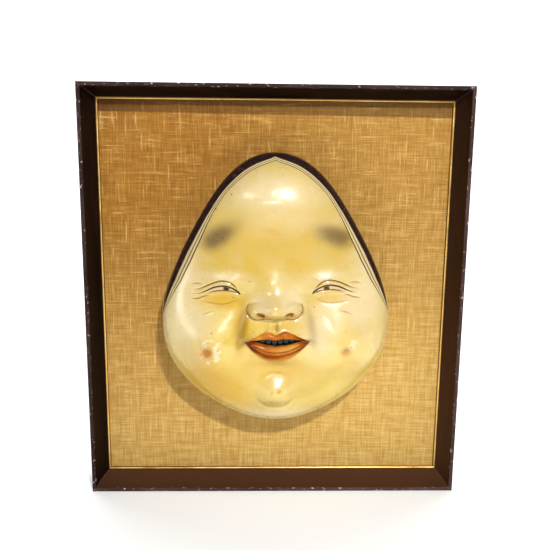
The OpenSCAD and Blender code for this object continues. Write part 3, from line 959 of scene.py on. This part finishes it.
def cloth_look():
    look = Look(
        "slub_cloth", Roughness=0.85, Specular_IOR_Level=0.2,
        Sheen_Weight=0.25, Sheen_Roughness=0.5,
    )
    place = look.place()
    # Threads run along X and along Z; each is uneven, and a few are thick and pale
    def both_ways(long, short, *shape):
        sizes = (long, 1, short), (short, 1, long)
        return [look.grain(place, size, *shape) for size in sizes]

    weft, warp = both_ways(34, 950, 3, 0.6)
    weft_band, warp_band = both_ways(70, 260, 2, 0.6)
    weft_slub, warp_slub = both_ways(34, 480, 4, 0.62, 0.15)
    fine = look.grain(place, (1500, 1, 1500), 2, 0.6)
    bands = look.times(look.plus(weft_band, warp_band), 0.4)
    threads = look.plus(look.plus(weft, warp), bands)
    woven = look.plus(threads, look.times(fine, 0.9))
    weave = look.span(woven, 1.35, 2.4)
    base = look.ramp(weave, [
        (0.0, rgb(122, 78, 20)), (0.35, rgb(147, 97, 28)),
        (0.65, rgb(163, 112, 40)), (1.0, rgb(196, 148, 70)),
    ])
    # Painted light and shade: a lighter copy of the cloth's colours, mixed in towards the right and
    # the bottom
    painted_light = look.ramp(weave, [
        (0.0, rgb(172, 130, 58)), (0.35, rgb(193, 152, 76)),
        (0.65, rgb(208, 170, 94)), (1.0, rgb(228, 198, 130)),
    ])
    axes = look.axes()
    rightward = look.span(axes["X"], -0.12, 0.12, 0, 0.36)
    downward = look.span(axes["Z"], 0.01, 0.28, 0.84, -0.05)
    base = look.mix(look.plus(rightward, downward), base, painted_light)
    for slub in (weft_slub, warp_slub):
        base = look.mix(look.span(slub, 0.56, 0.7, 0, 0.55), base, rgb(220, 184, 110))
    # Painted shadow of the top rail: a dark strip along the cloth's top, a little deeper to the
    # right and darkest at the far left
    slanted = look.plus(axes["Z"], look.times(axes["X"], RAIL_SHADOW_SLANT))
    below_rail = look.minus(FRAME_H - SLIP_INSET, slanted)
    painted_rail_shadow = look.span(below_rail, RAIL_SHADOW_DEPTH - 0.6 * MM, RAIL_SHADOW_DEPTH + 0.6 * MM, 1, 0)
    painted_rail_shadow = look.times(painted_rail_shadow, look.span(axes["X"], -0.14, -0.08, 0.85, 0.64))
    base = look.mix(painted_rail_shadow, base, rgb(78, 46, 8))
    slubs = look.plus(weft_slub, warp_slub)
    return look.set(Base_Color=base, Normal=look.bump(look.plus(woven, slubs), 0.0003, 0.5))


def build_cloth():
    """Sheet stretched over the board's face, down its edges and a little way in behind it."""
    half_w = BOARD_HIGH.x + CLOTH_T / 2
    low_z, high_z = BOARD_LOW.z - CLOTH_T / 2, BOARD_HIGH.z + CLOTH_T / 2
    half_h, mid_z = (high_z - low_z) / 2, (high_z + low_z) / 2
    front, back = BOARD_LOW.y - CLOTH_T / 2, BOARD_HIGH.y + CLOTH_T / 2
    drop = back - front
    reach = drop + TURNOVER

    def stations(half, count):
        inside = np.linspace(-half, half, count)
        outside = [drop / 2, drop, drop + TURNOVER / 2, reach]
        before, after = [-half - t for t in outside[::-1]], [half + t for t in outside]
        return np.concatenate([before, inside, after])

    def folded(t, half):
        """Where a point of the flat cloth goes: its place across the board, and how far round."""
        past = max(0.0, abs(t) - half)
        place = half if past <= drop else half - (past - drop)
        return (math.copysign(place, t) if past else t), min(past, drop)

    us, vs = stations(half_w, 147), stations(half_h, 161)
    verts, grid = [], {}
    for j, v in enumerate(vs):
        for i, u in enumerate(us):
            past_u, past_v = abs(u) - half_w, abs(v) - half_h
            if past_u > 1e-9 and past_v > 1e-9:
                continue
            x, round_x = folded(u, half_w)
            z, round_z = folded(v, half_h)
            # The strips round the board narrow behind it, to meet on a mitre, a little apart
            if past_u > 1e-9:
                z *= 1 - (max(past_u - drop, 0) + CORNER_GAP) / half_h
            if past_v > 1e-9:
                x *= 1 - (max(past_v - drop, 0) + CORNER_GAP) / half_w
            y = front + max(round_x, round_z)
            if past_u < 0 and past_v < 0:
                y += 0.00006 * math.sin(310 * x + 2.1 * math.sin(40 * z)) * math.sin(290 * z + 1.7)
            grid[i, j] = len(verts)
            verts.append((x, y, mid_z + z))
    faces = []
    for j in range(len(vs) - 1):
        for i in range(len(us) - 1):
            corners = [(i, j), (i + 1, j), (i + 1, j + 1), (i, j + 1)]
            if all(c in grid for c in corners):
                faces.append(tuple(grid[c] for c in corners))
    piece = mesh_object("slub_cloth", verts, faces, cloth_look())
    thick = piece.modifiers.new("thickness", "SOLIDIFY")
    thick.thickness = CLOTH_T * 0.9
    thick.offset = 0
    bpy.context.view_layer.objects.active = piece
    piece.select_set(True)
    bpy.ops.object.modifier_apply(modifier="thickness")
    piece.select_set(False)
    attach(piece, CASE)
    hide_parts("backing_cloth")


# ----- Finishes of the CAD pieces that keep their shape -----


def gilt_look():
    look = Look("gold_leaf", Metallic=0.85)
    place = look.place()
    cloudy = look.noise(place, 60, 4, 0.6)
    color = look.mix(look.span(cloudy, 0.3, 0.7), rgb(216, 162, 78), rgb(246, 208, 120))
    worn = look.span(look.noise(place, 240, 4, 0.7), 0.62, 0.7, 0, 0.8)
    color = look.mix(worn, color, rgb(128, 72, 38))
    # Inset from the frame's edge: painted shade along the rail, wider at the top, and bare red
    # ground along the cloth
    axes = look.axes()
    beside = look.minus(FRAME_W / 2, look.math("ABSOLUTE", axes["X"]))
    above = look.math("MINIMUM", axes["Z"], look.minus(FRAME_H, axes["Z"]))
    inset = look.math("MINIMUM", beside, above)
    ground = look.span(inset, SLIP_INSET - 0.1 * MM, SLIP_INSET + 0.1 * MM, 0, 0.85)
    color = look.mix(ground, color, rgb(112, 54, 18))
    wider_at_top = look.span(axes["Z"], 0.3, 0.312, 0, 0.4 * MM)
    painted_rail_shade = look.span(look.minus(inset, wider_at_top), 9.6 * MM, 10.1 * MM, 0.7, 0)
    color = look.mix(painted_rail_shade, color, rgb(90, 50, 22))
    rough = look.span(cloudy, 0.3, 0.8, 0.28, 0.45)
    normal = look.bump(look.noise(place, 500, 3), 0.0001, 0.4)
    return look.set(Base_Color=color, Roughness=rough, Normal=normal)


def darkened(color, share):
    return tuple(share * c for c in color[:3]) + (1,)


def wood_look(name, light, dark, stretch, rough=0.7):
    """Plain unpainted wood, with its grain along the axis that stretch leaves longest."""
    look = Look(name, Specular_IOR_Level=0.3)
    place = look.place()
    wavy = look.grain(place, stretch, 6, 0.6, 0.4)
    pores = look.grain(place, tuple(4 * s for s in stretch), 3, 0.6)
    color = look.mix(look.span(wavy, 0.3, 0.7), light, dark)
    color = look.mix(look.span(pores, 0.55, 0.75, 0, 0.5), color, darkened(dark, 0.5))
    stained = look.span(look.noise(place, 14, 4, 0.6), 0.45, 0.8, 0, 0.4)
    color = look.mix(stained, color, darkened(light, 0.6))
    return look.set(
        Base_Color=color, Roughness=look.span(wavy, 0.2, 0.8, rough - 0.1, rough + 0.1),
        Normal=look.bump(pores, 0.0002, 0.5),
    )


def metal_look(name, bright, dull, rough, brushed):
    look = Look(name, Metallic=1.0)
    place = look.place()
    tarnish = look.noise(place, 180, 5, 0.65)
    color = look.mix(look.span(tarnish, 0.35, 0.7), bright, dull)
    scratches = look.grain(place, brushed, 3, 0.6)
    return look.set(
        Base_Color=color, Roughness=look.span(tarnish, 0.3, 0.75, rough, rough + 0.25),
        Normal=look.bump(scratches, 0.00004, 0.4),
    )


def felt_look():
    look = Look("felt", Roughness=0.95, Sheen_Weight=0.6)
    place = look.place()
    tufts = look.noise(place, 1600, 4, 0.7)
    color = look.mix(look.span(tufts, 0.3, 0.7), rgb(30, 28, 27), rgb(62, 58, 55))
    return look.set(Base_Color=color, Normal=look.bump(tufts, 0.0004, 0.8))


def finish_cad_pieces():
    cedar = rgb(206, 170, 118), rgb(164, 120, 72)
    liner_x = wood_look("liner_cedar_across", *cedar, (12, 300, 300))
    liner_z = wood_look("liner_cedar_upright", *cedar, (300, 300, 12))
    hardboard = wood_look("hardboard", rgb(134, 98, 62), rgb(104, 72, 44), (240, 240, 240), 0.8)
    plywood = wood_look("plywood_back", rgb(176, 138, 92), rgb(142, 102, 62), (60, 60, 7), 0.75)
    steel = metal_look("zinc_steel", rgb(186, 186, 184), rgb(128, 126, 122), 0.3, (900, 900, 60))
    brass = metal_look("turn_brass", rgb(206, 168, 92), rgb(140, 104, 52), 0.25, (60, 900, 900))
    gilt, felt = gilt_look(), felt_look()
    for starts, material in (
        ("slip_", gilt), ("mount_board", hardboard), ("back_panel", plywood),
        (("mask_batten", "liner_bottom", "liner_top"), liner_x),
        (("liner_left", "liner_right"), liner_z),
        (("corner_nails", "mask_screws", "button_screws", "hanger_"), steel),
        ("turn_button_", brass), ("wall_bumpers", felt),
    ):
        for node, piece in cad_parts.items():
            if node.startswith(starts):
                piece.data.materials.clear()
                piece.data.materials.append(material)


# ----- Camera, light and stage -----


def look_at(thing, place, target, roll=0.0):
    direction = (Vector(target) - Vector(place)).normalized()
    turn = direction.to_track_quat("-Z", "Y").to_matrix().to_4x4()
    thing.matrix_world = Matrix.Translation(place) @ turn @ Matrix.Rotation(roll, 4, "Z")


def make_camera():
    data = bpy.data.cameras.new("camera")
    data.sensor_width = 36
    data.lens = 43.5
    camera = in_scene("camera", data)
    place = (-0.0137, FRONT_Y - 0.5174, FRAME_H / 2 + 0.116)
    target = (-0.0005, FRONT_Y, FRAME_H / 2 + 0.0195)
    look_at(camera, place, target, math.radians(0.58))
    bpy.context.scene.camera = camera


def area_light(name, place, size, power, soft=False, seen=True, lights=True, target=MIDDLE):
    """Rectangular light. A soft one fades out towards its edges; one that isn't seen has no mirror
    image in glossy surfaces, and one that doesn't light is only such an image."""
    data = bpy.data.lights.new(name, "AREA")
    data.shape = "RECTANGLE"
    data.size, data.size_y = size
    data.energy = power
    if soft:
        data.use_nodes = True
        nodes, links = data.node_tree.nodes, data.node_tree.links
        across_it = nodes.new("ShaderNodeNewGeometry").outputs["Parametric"]
        from_middle = nodes.new("ShaderNodeVectorMath")
        from_middle.operation = "DISTANCE"
        from_middle.inputs[1].default_value = (0.5, 0.5, 0)
        links.new(across_it, from_middle.inputs[0])
        fall = nodes.new("ShaderNodeMapRange")
        fall.interpolation_type = "SMOOTHSTEP"
        for socket, value in (("From Max", 0.5), ("To Min", 3.0), ("To Max", 0.0)):
            fall.inputs[socket].default_value = value
        links.new(from_middle.outputs["Value"], fall.inputs["Value"])
        links.new(fall.outputs["Result"], nodes["Emission"].inputs["Strength"])
    light = in_scene(name, data)
    light.visible_glossy = seen
    light.visible_diffuse = lights
    look_at(light, place, target)


def make_lights():
    area_light("key", (0.22, -0.95, 0.80), (0.06, 0.05), 11.2)
    area_light("above_camera", (-0.03, -1.05, 0.45), (0.3, 0.04), 0.8)
    area_light("left_wall", (-0.8, -0.8, 0.12), (0.6, 0.2), 0.4, seen=False)
    area_light("right_wall", (0.8, -0.8, 0.12), (0.6, 0.2), 0.6, seen=False)
    area_light("low_fill", (0, -1.3, 0.1), (0.8, 0.16), 0.4, seen=False)
    area_light("left_image", (-0.95, -0.5, 0.25), (0.4, 0.5), 1.3, soft=True, lights=False)
    area_light("key_bloom", (0.16, -0.95, 0.82), (0.5, 0.36), 1.5, soft=True, lights=False)
    area_light("upper_left_image", (-0.5, -0.8, 0.75), (0.4, 0.3), 1.2, soft=True, lights=False)
    area_light("backdrop_light", (0, 0.35, 1.3), (1.4, 0.3), 22, seen=False, target=(0, 1.2, 0.35))
    world = bpy.data.worlds.new("studio")
    bpy.context.scene.world = world
    world.use_nodes = True
    background = world.node_tree.nodes["Background"]
    background.inputs["Color"].default_value = (1, 1, 1, 1)
    background.inputs["Strength"].default_value = 0.13


def make_stage():
    look = Look("sweep_white", Roughness=0.9)
    grain = look.noise(look.place(), 5, 2)
    white = look.mix(look.span(grain, 0.2, 0.8), (0.88, 0.91, 0.94, 1), (0.92, 0.94, 0.96, 1))
    material = look.set(Base_Color=white, Emission_Color=white, Emission_Strength=0.22)
    # The wall is far enough behind for a camera to stand between it and the frame's back
    bend, wall_y, half = 0.3, 0.85, 2.4
    profile = [(-1.6, 0.0)]
    for k in range(17):
        a = math.pi / 2 * k / 16
        profile.append((wall_y + bend * math.sin(a), bend * (1 - math.cos(a))))
    profile.append((wall_y + bend, 2.4))
    verts = [(side * half, y, z) for side in (-1, 1) for y, z in profile]
    n = len(profile)
    faces = [(i, i + 1, n + i + 1, n + i) for i in range(n - 1)]
    mesh_object("studio_sweep", verts, faces, material)


make_camera()
build_mask()
build_teeth()
rail_material = rail_look()
for number, side_name in enumerate(SIDES):
    build_rail(side_name, rail_material, number)
build_cloth()
finish_cad_pieces()
make_lights()
make_stage()
bpy.context.scene.view_settings.view_transform = "Standard"
